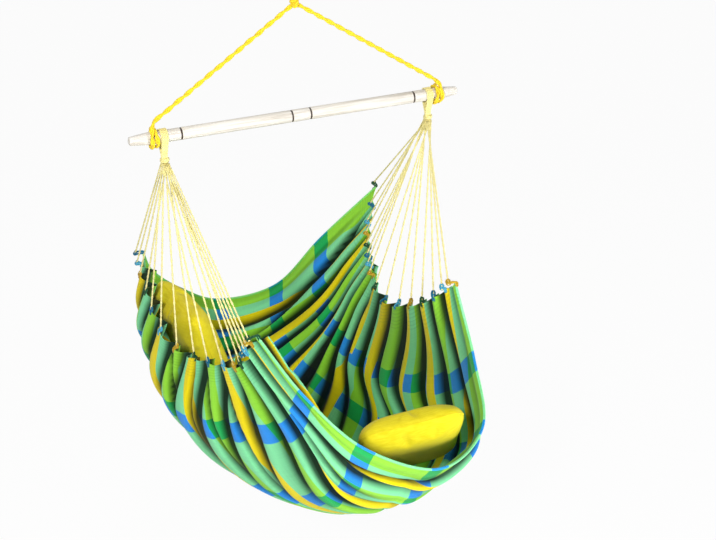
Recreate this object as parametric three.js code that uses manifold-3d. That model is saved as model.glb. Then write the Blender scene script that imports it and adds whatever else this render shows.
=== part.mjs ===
// Hammock chair: a cloth seat held by two fans of strings under a wooden bar, with two loose cushions.
// Millimetres, +Z up, +X along the bar. The front is -Y. The origin is where a ceiling hook carries
// the inside of the rope's top eye.
import * as THREE from 'three';
import { mergeVertices } from 'three/addons/utils/BufferGeometryUtils.js';
import Module from 'manifold-3d';

const wasm = await Module();
wasm.setup();

// Driving dimensions
const clearance = 0.3;              // gap that touching pieces keep

const ropeDiameter = 15;            // suspension rope
const eyeInnerDiameter = 42;        // room for the hook
const eyeNeckDrop = 60;             // from the eye's centre to its neck
const eyeLean = 35;                 // degrees by which the eye's two runs lean in to its neck
const neckWhippingHeight = 24;
const neckWhippingWall = 3;
const knotDiameter = 36;
const apexHeight = 346;             // from the bar's axis to the knot's centre

const barLength = 1100;
const barDiameter = 38;
const barEndDiameter = 27;
const barEndRounding = 6;
const ringWidth = 5;                // the burnt rings
const ringDepth = 0.8;
const outerRingOffset = 390;        // from the bar's middle
const innerRingOffset = 31;

const hitchMargin = 57;             // bar left free outside the rope's turns
const hitchTurns = 1.25;
const hitchTurnGap = 0.9;

const bandWidth = 24;               // the strings side by side where they loop over the bar
const bandThickness = 6;
const bandLean = 20;                // degrees by which the band's two runs lean in to the gather
const gatherDrop = 80;              // from the bar's axis to the foot of the gather whipping
const gatherWhippingHeight = 14;
const gatherWhippingWall = 1.5;

const loopCount = 16;               // strings and header loops on each side
const stringDiameter = 5;
const stringsPerRow = 4;            // in the gather
const stringRowPitch = 5.6;         // between strings in the gather, along the fan
const stringColumnPitch = 5.4;      // between strings in the gather, across the fan

const clothWeft = 1800;             // cut width of the cloth, from hem to hem
const clothWarp = 1500;             // cut length of the cloth, from header to header
const clothThickness = 2;
const seatDrop = 1370;              // from the bar's axis to the seat's lowest point
const restingFluteDepth = 4;        // of a flute where the cloth lies open
const scallopDepth = 16;            // how far the header's edge hangs back between two loops
const hemCreaseDepth = 14;
const seatSetback = 40;             // the seat hangs back by this much to balance its cushions

const cushionWidth = 380;
const cushionHeight = 380;
const cushionThickness = 130;
const frontCushionTurns = [-44, -8, -14]; // degrees about X, Y and Z
const backCushionTurns = [70.5, -7, 93.5];
const frontCushionLift = [-0.45, 0.17, 0.87]; // the direction in which it comes out of the seat
const backCushionLift = [0.45, -0.2, 0.87];
const coverThickness = 0.6;
const seamWidth = 2;
const stuffingSlitLength = 120;     // left in the inner bag's seam to stuff it through
const stuffingSlitWidth = 3;
const zipperLength = 260;
const zipperWidth = 4;
const zipperDepth = 5;

// Colours, roughness and metalness
const ropeLook = { color: '#e9c62c', roughness: 0.85, metalness: 0 };
const twineLook = { color: '#f0dc83', roughness: 0.9, metalness: 0 };
const birchLook = { color: '#e6ddcf', roughness: 0.6, metalness: 0 };
const clothLook = { color: '#83e065', roughness: 0.9, metalness: 0 };
const cushionLook = { color: '#f2dc14', roughness: 0.9, metalness: 0 };
const bagLook = { color: '#f7f5ee', roughness: 1, metalness: 0 };

// Places worked out from them
const ropeRadius = ropeDiameter / 2;
const barRadius = barDiameter / 2;
const eyeRadius = eyeInnerDiameter / 2 + ropeRadius;
const eyeCentreZ = -eyeInnerDiameter / 2;
const neckTopZ = eyeCentreZ - eyeNeckDrop;
const neckFootZ = neckTopZ - neckWhippingHeight;
const knotRadius = knotDiameter / 2;
const knotZ = neckFootZ - clearance - knotRadius;
const barZ = knotZ - apexHeight;

const hitchRadius = barRadius + clearance + ropeRadius;
const hitchPitch = ropeDiameter + hitchTurnGap;
const hitchLength = hitchTurns * hitchPitch + ropeDiameter;
const hitchOuterX = barLength / 2 - hitchMargin;
const hitchCentreX = hitchOuterX - hitchLength / 2;
const harnessX = hitchOuterX - hitchLength - clearance - hitchTurnGap - bandWidth / 2;
const harnessLoopRadius = barRadius + clearance + bandThickness / 2;
const gatherFootZ = -gatherDrop;

const root = new THREE.Group();

function addPiece(parent, name, geometry, look) {
  const mesh = new THREE.Mesh(geometry, new THREE.MeshStandardMaterial(look));
  mesh.name = name;
  parent.add(mesh);
  return mesh;
}

const nudge = 1e-3;

// A geometry's faces as one solid, for cutting and for measuring gaps
function solidOf(geometry) {
  const plain = geometry.clone();
  for (const name of ['normal', 'uv']) plain.deleteAttribute(name);
  const merged = mergeVertices(plain, nudge);
  const faces = [];
  for (let i = 0; i < merged.index.count; i += 3) {
    const face = [merged.index.getX(i), merged.index.getX(i + 1), merged.index.getX(i + 2)];
    if (new Set(face).size === face.length) faces.push(...face);
  }
  return new wasm.Manifold(new wasm.Mesh({
    numProp: 3,
    vertProperties: Float32Array.from(merged.attributes.position.array),
    triVerts: Uint32Array.from(faces),
  }));
}

function geometryOf(solid) {
  const mesh = solid.getMesh();
  const geometry = new THREE.BufferGeometry();
  geometry.setAttribute('position', new THREE.BufferAttribute(Float32Array.from(mesh.vertProperties), 3));
  geometry.setIndex(Array.from(mesh.triVerts));
  return geometry;
}

// The farthest value, from a clear one to a fouled one, at which the test still finds room
function lastClear(clearValue, fouledValue, isClear) {
  const halvings = 16;
  let clear = clearValue;
  let fouled = fouledValue;
  for (let i = 0; i < halvings; i += 1) {
    const middle = (clear + fouled) / 2;
    if (isClear(middle)) clear = middle;
    else fouled = middle;
  }
  return clear;
}

// A rope along a curve, closed by flat ends. It is round, or a flat band if it has a width as well.
function ropeAlong(curve, diameter, sides, steps, width = diameter) {
  const section = new THREE.Shape();
  for (let i = 0; i < sides; i += 1) {
    const angle = (2 * Math.PI * i) / sides;
    const x = (diameter / 2) * Math.cos(angle);
    const y = (width / 2) * Math.sin(angle);
    if (i === 0) section.moveTo(x, y);
    else section.lineTo(x, y);
  }
  section.closePath();
  return new THREE.ExtrudeGeometry(section, { steps, extrudePath: curve, bevelEnabled: false });
}

function straightRope(start, end, diameter, sides) {
  return ropeAlong(new THREE.LineCurve3(start, end), diameter, sides, 1);
}

// A closed body of revolution round the X axis from [place along X, radius] pairs
function turnedAlongX(profile) {
  const points = profile.map(([x, radius]) => new THREE.Vector2(radius, x));
  const geometry = new THREE.LatheGeometry(points, 24);
  geometry.rotateZ(-Math.PI / 2);
  return geometry;
}

// A barrel of twine, standing along Z from foot to top
function whipping(footZ, height, radius) {
  const waistShare = 0.88;
  const points = [
    new THREE.Vector2(0, footZ),
    new THREE.Vector2(radius * waistShare, footZ),
    new THREE.Vector2(radius, footZ + height / 4),
    new THREE.Vector2(radius, footZ + (height * 3) / 4),
    new THREE.Vector2(radius * waistShare, footZ + height),
    new THREE.Vector2(0, footZ + height),
  ];
  const geometry = new THREE.LatheGeometry(points, 16);
  geometry.rotateX(Math.PI / 2);
  return geometry;
}

// A flat curve stood upright, opening in a horizontal direction
class UprightCurve extends THREE.Curve {
  constructor(path, inPlane) {
    super();
    this.path = path;
    this.inPlane = inPlane;
  }

  getPoint(share, target = new THREE.Vector3()) {
    const { x, y } = this.path.getPoint(share);
    return target.copy(this.inPlane).multiplyScalar(x).setZ(y);
  }
}

// A rope bight: a round bend over the top, two straight runs that lean in, and two upright feet
function bightCurve(radius, neckDrop, halfNeck, leanDegrees, inPlane) {
  const lean = THREE.MathUtils.degToRad(leanDegrees);
  const footBend = radius / 2;
  const bendEndX = radius * Math.cos(lean);
  const footBendX = halfNeck + footBend * (1 - Math.cos(lean));
  const runLength = (bendEndX - footBendX) / Math.sin(lean);
  const footBendZ = -radius * Math.sin(lean) - runLength * Math.cos(lean);
  const footZ = footBendZ - footBend * Math.sin(lean);
  const path = new THREE.Path();
  path.moveTo(-halfNeck, -neckDrop);
  path.lineTo(-halfNeck, footZ);
  path.absarc(-halfNeck - footBend, footZ, footBend, 0, lean, false);
  path.absarc(0, 0, radius, Math.PI + lean, -lean, true);
  path.absarc(halfNeck + footBend, footZ, footBend, Math.PI - lean, Math.PI, false);
  path.lineTo(halfNeck, -neckDrop);
  return new UprightCurve(path, inPlane);
}

const bightSteps = 36;

// Suspension: eye, whipping and knot
function addSuspension() {
  const halfNeck = (ropeDiameter + clearance) / 2;
  const across = new THREE.Vector3(1, 0, 0);
  const curve = bightCurve(eyeRadius, eyeNeckDrop - clearance, halfNeck, eyeLean, across);
  const eye = ropeAlong(curve, ropeDiameter, 8, bightSteps);
  addPiece(root, 'suspension_eye', eye, ropeLook).position.set(0, 0, eyeCentreZ);
  const neckRadius = ropeDiameter + clearance / 2 + neckWhippingWall;
  const neck = whipping(neckFootZ, neckWhippingHeight, neckRadius);
  addPiece(root, 'neck_whipping', neck, twineLook);
  const knot = new THREE.SphereGeometry(knotRadius, 16, 12);
  addPiece(root, 'apex_knot', knot, ropeLook).position.set(0, 0, knotZ);
}

const bar = new THREE.Group();
bar.position.set(0, 0, barZ);
root.add(bar);

// The turns round the bar are one helix, and its least gap to itself is measured below
const hitchStepsPerTurn = 24;
function hitchPoints(side) {
  const steps = Math.round(hitchTurns * hitchStepsPerTurn);
  const points = [];
  for (let i = 0; i <= steps; i += 1) {
    const turn = (hitchTurns * i) / steps;
    const angle = 2 * Math.PI * (turn - hitchTurns / 2) + Math.PI / 2;
    const x = side * (hitchCentreX + hitchPitch * (turn - hitchTurns / 2));
    points.push(new THREE.Vector3(x, hitchRadius * Math.cos(angle), hitchRadius * Math.sin(angle)));
  }
  return points;
}

function leastTurnGap(points) {
  let least = Infinity;
  for (let i = 0; i < points.length; i += 1) {
    for (let j = i + hitchStepsPerTurn / 2; j < points.length; j += 1) {
      least = Math.min(least, points[i].distanceTo(points[j]) - ropeDiameter);
    }
  }
  return least;
}

function addHitch(side, sideName) {
  const points = hitchPoints(side);
  console.log(`bar_hitch_${sideName}: least gap to itself ${leastTurnGap(points).toFixed(2)} mm`);
  const curve = new THREE.CatmullRomCurve3(points);
  const turns = ropeAlong(curve, ropeDiameter, 8, points.length - 1);
  addPiece(bar, `bar_hitch_${sideName}`, turns, ropeLook);
  return solidOf(turns);
}

// The leg runs from the knot down to the top of the turns round the bar, where its lower edge lands
function addLeg(side, sideName, hitchSolid) {
  const top = new THREE.Vector3(0, 0, apexHeight);
  const landing = new THREE.Vector3(side * hitchCentreX, 0, hitchRadius + ropeRadius);
  const reach = landing.distanceTo(top);
  const along = landing.clone().sub(top).normalize();
  const offAxis = Math.asin(ropeRadius / reach);
  along.applyAxisAngle(new THREE.Vector3(0, 1, 0), -side * offAxis);
  const start = top.clone().addScaledVector(along, knotRadius + clearance);
  const legOf = (length) => straightRope(
    start,
    start.clone().addScaledVector(along, length),
    ropeDiameter,
    10,
  );
  const isClear = (length) => solidOf(legOf(length)).minGap(hitchSolid, 2 * clearance) >= clearance;
  const length = lastClear(reach - knotRadius - ropeDiameter, reach, isClear);
  addPiece(bar, `leg_rope_${sideName}`, legOf(length), ropeLook);
}

// The bar is one turned solid with shallow burnt rings and tapered, rounded ends
function addBar() {
  const half = barLength / 2;
  const endRadius = barEndDiameter / 2;
  const ringRadius = barRadius - ringDepth;
  const edge = ringDepth;
  const halfProfile = [
    [half, 0],
    [half, endRadius - barEndRounding],
    [half - barEndRounding * (1 - Math.SQRT1_2), endRadius - barEndRounding * (1 - Math.SQRT1_2)],
    [half - barEndRounding, endRadius],
    [half - hitchMargin, barRadius],
  ];
  for (const centre of [outerRingOffset, innerRingOffset]) {
    halfProfile.push(
      [centre + ringWidth / 2 + edge, barRadius],
      [centre + ringWidth / 2, ringRadius],
      [centre - ringWidth / 2, ringRadius],
      [centre - ringWidth / 2 - edge, barRadius],
    );
  }
  const mirrored = halfProfile.map(([x, radius]) => [-x, radius]);
  addPiece(bar, 'spreader_bar', turnedAlongX([...mirrored, ...halfProfile.reverse()]), birchLook);
}

// The strings lie side by side over the bar as a band, which closes at the gather
function addHarness(side, sideName) {
  const neckDrop = gatherDrop - gatherWhippingHeight - clearance;
  const halfNeck = (bandThickness + clearance) / 2;
  const along = new THREE.Vector3(0, 1, 0);
  const curve = bightCurve(harnessLoopRadius, neckDrop, halfNeck, bandLean, along);
  const eye = ropeAlong(curve, bandThickness, 8, bightSteps, bandWidth);
  addPiece(bar, `harness_eye_${sideName}`, eye, ropeLook).position.set(side * harnessX, 0, 0);
  const gatherRadius = Math.hypot(bandWidth / 2, bandThickness + clearance / 2) + gatherWhippingWall;
  const gather = whipping(gatherFootZ, gatherWhippingHeight, gatherRadius);
  addPiece(bar, `gather_whipping_${sideName}`, gather, twineLook).position.set(side * harnessX, 0, 0);
}

// The cloth hangs on a net of control points, five from the back hem to the front hem and seven from
// the left header to the right header. Each is a share of the harness's offset along X, of the
// cloth's weft along Y and of the seat's drop along Z.
const netShare = [
  [
    [-0.882, 0.259, -0.397], [-0.723, 0.337, -0.492], [-0.439, 0.393, -0.584], [-0.064, 0.426, -0.657],
    [0.424, 0.404, -0.635], [0.764, 0.348, -0.495], [1.191, 0.295, -0.353],
  ],
  [
    [-0.916, 0.208, -0.451], [-0.984, 0.219, -0.591], [-0.666, 0.247, -0.746], [-0.189, 0.258, -0.820],
    [0.265, 0.247, -0.761], [0.571, 0.224, -0.657], [0.946, 0.202, -0.451],
  ],
  [
    [-0.984, 0.041, -0.525], [-1.018, 0, -0.691], [-0.598, -0.006, -0.886], [0.083, -0.006, -1.000],
    [0.742, 0.011, -0.901], [0.719, 0.062, -0.746], [0.669, 0.013, -0.507],
  ],
  [
    [-0.847, -0.202, -0.458], [-0.620, -0.253, -0.606], [-0.314, -0.264, -0.801], [0.220, -0.247, -0.879],
    [0.855, -0.202, -0.820], [0.878, -0.152, -0.665], [0.583, -0.174, -0.425],
  ],
  [
    [-0.841, -0.298, -0.343], [-0.643, -0.365, -0.462], [-0.246, -0.370, -0.610], [0.279, -0.382, -0.694],
    [0.730, -0.328, -0.665], [0.719, -0.309, -0.510], [0.621, -0.288, -0.326],
  ],
];

// Where the loops sit along each header of the net, from the back hem to the front hem
const leftLoopShare = [
  0, 0.105, 0.205, 0.297, 0.368, 0.442, 0.532, 0.604, 0.654, 0.71, 0.77, 0.828, 0.882, 0.925, 0.963, 1,
];
const rightLoopShare = [
  0, 0.1, 0.187, 0.24, 0.29, 0.33, 0.362, 0.395, 0.445, 0.53, 0.625, 0.708, 0.793, 0.88, 0.95, 1,
];
const bunchedLengthShare = 0.45;    // of the warp, over which the cloth spreads out again
const flutedLengthShare = 0.3;      // of the warp, over which a flute fades

// Columns of the cloth's grid, closer together near the headers
const columnShare = [
  0, 0.02, 0.06, 0.12, 0.19, 0.27, 0.36, 0.45, 0.55, 0.64, 0.73, 0.81, 0.88, 0.94, 0.98, 1,
];
const hemCreasePlaceShare = 0.935;  // of the weft, where the front hem rolls over
const hemCreaseWidthShare = 0.03;

const rowCurves = netShare.map((row) => new THREE.CatmullRomCurve3(
  row.map(([x, y, z]) => new THREE.Vector3(x * harnessX, y * clothWeft + seatSetback, z * seatDrop)),
  false,
  'catmullrom',
  0.5,
));

// How far along a header's line a share of the weft sits
function alongHeader(weftShare, loopShare) {
  const place = weftShare * (loopShare.length - 1);
  const loop = Math.min(Math.floor(place), loopShare.length - 2);
  return loopShare[loop] + (place - loop) * (loopShare[loop + 1] - loopShare[loop]);
}

function clothPoint(warpShare, weftShare) {
  const points = rowCurves.map((curve) => curve.getPoint(warpShare));
  const leftPull = Math.max(0, 1 - warpShare / bunchedLengthShare) ** 2;
  const rightPull = Math.max(0, 1 - (1 - warpShare) / bunchedLengthShare) ** 2;
  const place = weftShare
    + leftPull * (alongHeader(weftShare, leftLoopShare) - weftShare)
    + rightPull * (alongHeader(weftShare, rightLoopShare) - weftShare);
  return new THREE.CatmullRomCurve3(points, false, 'catmullrom', 0.5).getPoint(place);
}

// The cloth between two loops keeps its cut width, so it folds deeper where they are closer
function valleyDepths(warpShare) {
  const cutWidth = clothWeft / (loopCount - 1);
  const depths = [];
  for (let valley = 0; valley < loopCount - 1; valley += 1) {
    const start = clothPoint(warpShare, valley / (loopCount - 1));
    const end = clothPoint(warpShare, (valley + 1) / (loopCount - 1));
    const spare = Math.sqrt(Math.max(0, cutWidth ** 2 - start.distanceToSquared(end)));
    depths.push(Math.max(restingFluteDepth, spare / 4));
  }
  return depths;
}

const leftDepths = valleyDepths(0);
const rightDepths = valleyDepths(1);

// A ridge is as high as the valleys beside it are deep
function depthAt(depths, row) {
  const before = depths[Math.max(Math.ceil(row / 2) - 1, 0)];
  const after = depths[Math.min(Math.floor(row / 2), depths.length - 1)];
  return (before + after) / 2;
}

// The flutes stand out of the seat at the left header and into it at the right one
function fluteOffset(warpShare, row) {
  const weftShare = row / (2 * (loopCount - 1));
  const leftFade = Math.exp(-((warpShare / flutedLengthShare) ** 1.5));
  const rightFade = Math.exp(-(((1 - warpShare) / flutedLengthShare) ** 1.5));
  const middle = restingFluteDepth * (1 - leftFade) * (1 - rightFade);
  const depth = depthAt(leftDepths, row) * leftFade - depthAt(rightDepths, row) * rightFade + middle;
  const flutes = row % 2 === 0 ? depth : -depth;
  const creasePlace = (weftShare - hemCreasePlaceShare) / hemCreaseWidthShare;
  const creaseReach = Math.sin(Math.PI * warpShare) ** 2;
  return flutes - hemCreaseDepth * creaseReach * Math.exp(-creasePlace * creasePlace);
}

const rowCount = 2 * (loopCount - 1) + 1;

// The unit normal that points out of the seat
function clothNormal(warpShare, weftShare) {
  const u = Math.min(Math.max(warpShare, nudge), 1 - nudge);
  const v = Math.min(Math.max(weftShare, nudge), 1 - nudge);
  const alongWarp = clothPoint(u + nudge, v).sub(clothPoint(u - nudge, v));
  const alongWeft = clothPoint(u, v + nudge).sub(clothPoint(u, v - nudge));
  return alongWarp.cross(alongWeft).normalize();
}

function clothGrid() {
  const grid = [];
  const scallop = scallopDepth / clothWarp;
  for (let row = 0; row < rowCount; row += 1) {
    const weftShare = row / (rowCount - 1);
    const inset = row % 2 === 0 ? 0 : scallop;
    grid.push(columnShare.map((share) => {
      const warpShare = inset + share * (1 - 2 * inset);
      const normal = clothNormal(warpShare, weftShare);
      return clothPoint(warpShare, weftShare).addScaledVector(normal, fluteOffset(warpShare, row));
    }));
  }
  return grid;
}

function gridNormals(grid) {
  const pick = (row, column) => grid[Math.min(Math.max(row, 0), grid.length - 1)][
    Math.min(Math.max(column, 0), grid[0].length - 1)];
  return grid.map((line, row) => line.map((_, column) => {
    const alongWarp = pick(row, column + 1).clone().sub(pick(row, column - 1));
    const alongWeft = pick(row + 1, column).clone().sub(pick(row - 1, column));
    return alongWarp.cross(alongWeft).normalize();
  }));
}

// A closed sheet between an outer and an inner grid of points
function sheetBetween(outer, inner) {
  const rows = outer.length;
  const columns = outer[0].length;
  const positions = [...outer.flat(), ...inner.flat()].flatMap((point) => point.toArray());
  const outerAt = (row, column) => row * columns + column;
  const innerAt = (row, column) => rows * columns + outerAt(row, column);
  const index = [];
  const quad = (a, b, c, d) => index.push(a, b, c, a, c, d);
  for (let row = 0; row < rows - 1; row += 1) {
    for (let column = 0; column < columns - 1; column += 1) {
      const ring = [[row, column], [row, column + 1], [row + 1, column + 1], [row + 1, column]];
      quad(...ring.map((corner) => outerAt(...corner)));
      const [first, ...others] = ring.map((corner) => innerAt(...corner));
      quad(first, ...others.reverse());
    }
  }
  for (let row = 0; row < rows - 1; row += 1) {
    const last = columns - 1;
    quad(outerAt(row, 0), outerAt(row + 1, 0), innerAt(row + 1, 0), innerAt(row, 0));
    quad(outerAt(row + 1, last), outerAt(row, last), innerAt(row, last), innerAt(row + 1, last));
  }
  for (let column = 0; column < columns - 1; column += 1) {
    const last = rows - 1;
    quad(outerAt(0, column + 1), outerAt(0, column), innerAt(0, column), innerAt(0, column + 1));
    quad(
      outerAt(last, column),
      outerAt(last, column + 1),
      innerAt(last, column + 1),
      innerAt(last, column),
    );
  }
  const geometry = new THREE.BufferGeometry();
  geometry.setAttribute('position', new THREE.Float32BufferAttribute(positions, 3));
  geometry.setIndex(index);
  return geometry;
}

const grid = clothGrid();
const normals = gridNormals(grid);
const shifted = (distance) => grid.map((line, row) => line.map(
  (point, column) => point.clone().addScaledVector(normals[row][column], distance),
));
const outerGrid = shifted(clothThickness / 2);
const innerGrid = shifted(-clothThickness / 2);
const seat = new THREE.Group();
bar.add(seat);

function addCloth() {
  const geometry = sheetBetween(outerGrid, innerGrid);
  addPiece(seat, 'seat_cloth', geometry, clothLook);
  return solidOf(geometry);
}

// How far the cloth's corner and the edges that leave it rise above a string's target
function riseAbove(target, corner, neighbours, along) {
  const corners = [corner];
  for (const neighbour of neighbours) {
    const edge = neighbour.clone().sub(corner);
    const across = edge.clone().projectOnPlane(along).length();
    const share = Math.min(1, (stringDiameter + clothThickness) / 2 / across);
    corners.push(corner.clone().addScaledVector(edge, share));
  }
  return Math.max(...corners.map((point) => target.clone().sub(point).dot(along)));
}

// Each string leaves its own place in the gather and ends at its own ridge of the header
function addStrings(side, sideName) {
  const edgeColumn = side < 0 ? 0 : columnShare.length - 1;
  for (let i = 0; i < loopCount; i += 1) {
    const gatherColumn = side * ((stringsPerRow - 1) / 2 - (i % stringsPerRow));
    const gatherRow = (stringsPerRow - 1) / 2 - Math.floor(i / stringsPerRow);
    const start = new THREE.Vector3(
      side * harnessX + gatherColumn * stringColumnPitch,
      gatherRow * stringRowPitch,
      gatherFootZ,
    );
    const row = 2 * i;
    const target = grid[row][edgeColumn];
    const along = target.clone().sub(start).normalize();
    const rise = Math.max(...[outerGrid, innerGrid].map((face) => {
      const besides = [face[row - 1], face[row + 1]].filter(Boolean).map((line) => line[edgeColumn]);
      const neighbours = [...besides, face[row][edgeColumn - side]];
      return riseAbove(target, face[row][edgeColumn], neighbours, along);
    }));
    const tilt = Math.hypot(along.x, along.y) / Math.abs(along.z);
    start.addScaledVector(along, (stringDiameter / 2) * tilt + clearance);
    const end = target.clone().addScaledVector(along, -rise - clearance);
    const name = `string_${sideName}_${String(i + 1).padStart(2, '0')}`;
    addPiece(seat, name, straightRope(start, end, stringDiameter, 8), ropeLook);
  }
}

// One cushion lies in the front right of the seat, and one leans on its left side towards the back.
// Their middles are given in shares like the cloth's net.
const frontCushionShare = [0.346, -0.235, -0.719];
const backCushionShare = [-0.627, 0.184, -0.599];
const drawnInShare = 0.07;          // of a side, in the middle of the side across it
const cushionSteps = 12;

function drawnIn(place, across) {
  return 1 - drawnInShare * (1 - across * across) * Math.abs(place);
}

// A crowned form whose sides draw in between its corners
function cushionForm(width, height, thickness) {
  const stations = [];
  for (let i = 0; i <= cushionSteps; i += 1) {
    stations.push(Math.sin((Math.PI / 2) * ((2 * i) / cushionSteps - 1)));
  }
  const face = (sign) => stations.map((t) => stations.map((s) => {
    const crown = ((1 - s ** 4) * (1 - t ** 4)) ** 0.6;
    return new THREE.Vector3(
      (s * drawnIn(s, t) * width) / 2,
      (t * drawnIn(t, s) * height) / 2,
      (sign * crown * thickness) / 2,
    );
  }));
  return solidOf(sheetBetween(face(1), face(-1)));
}

// A shell of cloth around an open room, with its seam along the edge
function shellForm(width, height, thickness) {
  const seams = 2 * seamWidth;
  const room = cushionForm(width - seams, height - seams, thickness - 2 * coverThickness);
  return cushionForm(width, height, thickness).subtract(room);
}

// A strip in the seam along the cushion's lower side, from one depth behind its edge to another
function seamStrip(length, fromDepth, toDepth, thickness) {
  const steps = 12;
  const edgeLine = (depth) => {
    const line = [];
    for (let i = 0; i <= steps; i += 1) {
      const x = length * (i / steps - 1 / 2);
      const y = depth - (cushionHeight / 2) * drawnIn(1, (2 * x) / cushionWidth);
      line.push([x, y]);
    }
    return line;
  };
  const lines = [edgeLine(fromDepth), edgeLine(toDepth)];
  const face = (z) => lines.map((line) => line.map(([x, y]) => new THREE.Vector3(x, y, z)));
  return solidOf(sheetBetween(face(thickness / 2), face(-thickness / 2)));
}

// The cushion slides back along its lift until it is the clearance away from the cloth
function restingPlace(cushionSolid, clothSolid, rotation, place, lift) {
  const turned = cushionSolid.transform(new THREE.Matrix4().makeRotationFromEuler(rotation).toArray());
  const at = (distance) => place.clone().addScaledVector(lift, distance);
  const isClear = (distance) => {
    const moved = turned.translate(at(distance).toArray());
    return moved.minGap(clothSolid, 2 * clearance) >= clearance;
  };
  return at(lastClear(cushionThickness, -cushionThickness, isClear));
}

const wholeCushion = cushionForm(cushionWidth, cushionHeight, cushionThickness);
const zipSlit = seamStrip(
  zipperLength + 2 * clearance,
  -seamWidth,
  3 * seamWidth,
  zipperWidth + 2 * clearance,
);
const cover = shellForm(cushionWidth, cushionHeight, cushionThickness).subtract(zipSlit);
const zipper = seamStrip(zipperLength, 0, zipperDepth, zipperWidth);
const bagInset = 2 * (seamWidth + clearance + zipperDepth);
const bagThickness = cushionThickness - 2 * (coverThickness + clearance);
const stuffingSlit = seamStrip(stuffingSlitLength, 0, bagInset + seamWidth, stuffingSlitWidth);
const bag = shellForm(cushionWidth - bagInset, cushionHeight - bagInset, bagThickness)
  .subtract(stuffingSlit);

function addCushion(name, placeShare, turns, liftDirection, clothSolid) {
  const rotation = new THREE.Euler(...turns.map((turn) => THREE.MathUtils.degToRad(turn)), 'ZYX');
  const [x, y, z] = placeShare;
  const place = new THREE.Vector3(x * harnessX, y * clothWeft + seatSetback, z * seatDrop);
  const lift = new THREE.Vector3(...liftDirection).normalize();
  const cushion = new THREE.Group();
  cushion.position.copy(restingPlace(wholeCushion, clothSolid, rotation, place, lift));
  cushion.rotation.copy(rotation);
  seat.add(cushion);
  const rest = cushion.position.toArray().map((coordinate) => coordinate.toFixed(1)).join(' ');
  console.log(`${name} rests at ${rest} mm from the bar`);
  addPiece(cushion, `${name}_cover`, geometryOf(cover), cushionLook);
  addPiece(cushion, `${name}_inner_bag`, geometryOf(bag), bagLook);
  addPiece(cushion, `${name}_zipper`, geometryOf(zipper), cushionLook);
}

addSuspension();
addBar();
const clothSolid = addCloth();
for (const [side, sideName] of [[-1, 'left'], [1, 'right']]) {
  addLeg(side, sideName, addHitch(side, sideName));
  addHarness(side, sideName);
  addStrings(side, sideName);
}
addCushion('front_cushion', frontCushionShare, frontCushionTurns, frontCushionLift, clothSolid);
addCushion('back_cushion', backCushionShare, backCushionTurns, backCushionLift, clothSolid);

export default root;
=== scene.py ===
# Hammock chair, dressed for rendering. Metres, +Z up, +X along the bar, the front is -Y. The origin is
# where a ceiling hook carries the inside of the rope's top eye.
import math

import bmesh
import bpy
import numpy as np
from mathutils import Matrix, Vector


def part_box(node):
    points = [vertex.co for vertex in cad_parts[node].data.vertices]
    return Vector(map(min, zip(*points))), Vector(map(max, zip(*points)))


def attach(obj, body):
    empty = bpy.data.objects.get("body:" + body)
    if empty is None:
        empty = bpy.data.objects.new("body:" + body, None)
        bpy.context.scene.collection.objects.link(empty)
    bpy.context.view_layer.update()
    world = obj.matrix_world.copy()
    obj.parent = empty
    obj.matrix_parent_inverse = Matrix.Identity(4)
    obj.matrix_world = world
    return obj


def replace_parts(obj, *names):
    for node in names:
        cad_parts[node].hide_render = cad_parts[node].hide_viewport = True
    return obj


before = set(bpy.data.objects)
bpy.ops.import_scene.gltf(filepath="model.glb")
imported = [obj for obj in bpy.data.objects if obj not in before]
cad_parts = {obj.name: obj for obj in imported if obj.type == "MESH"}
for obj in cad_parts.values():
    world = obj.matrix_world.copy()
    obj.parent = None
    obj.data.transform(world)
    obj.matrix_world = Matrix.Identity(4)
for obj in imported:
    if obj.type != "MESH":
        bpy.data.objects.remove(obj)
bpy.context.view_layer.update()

rng = np.random.default_rng(7)

# Places taken from the frame
SIDES = ((-1, "left"), (1, "right"))
bar_low, bar_high = np.array(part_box("spreader_bar"))
BAR_Z = (bar_low[2] + bar_high[2]) / 2
BAR_LENGTH = bar_high[0] - bar_low[0]
BAR_RADIUS = (bar_high[2] - bar_low[2]) / 2
knot_low, knot_high = np.array(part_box("apex_knot"))
KNOT = (knot_low + knot_high) / 2
KNOT_RADIUS = (knot_high[2] - knot_low[2]) / 2
band_low, band_high = np.array(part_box("harness_eye_right"))
HARNESS_X = (band_low[0] + band_high[0]) / 2
GATHER_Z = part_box("gather_whipping_right")[0][2]

# Sizes
ROPE_RADIUS = 0.0075
STRING_RADIUS = 0.0033
STRING_PITCH = 0.05
STRING_SAG = 0.0015
STRAND_RADIUS = 0.0041  # the rope's two strands, and how far off its centre they wind
STRAND_OFFSET = 0.0034
GAP = 0.0003  # between touching pieces
LOOPS = 16
CLOTH_WEFT = 1.8
CLOTH_WARP = 1.5
SEAT_DROP = 1.37
SEAT_SETBACK = 0.04
LEAST_LENGTH = 1e-9  # keeps a division by a length from failing


def unit(vectors):
    return vectors / np.maximum(np.linalg.norm(vectors, axis=-1, keepdims=True), LEAST_LENGTH)


def add_object(name, data):
    made = bpy.data.objects.new(name, data)
    bpy.context.scene.collection.objects.link(made)
    return made


# Camera: the photograph's angle, found from the bar's ends, its rings and the rope's top
CAMERA_TURNS = (25, 21.51, -2)  # azimuth, pitch and roll in degrees
CAMERA_DISTANCE = 4.73
CAMERA_TARGET = (0.1782, 0, -0.5511)
SENSOR_WIDTH = 36
LENS = 72.65


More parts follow.
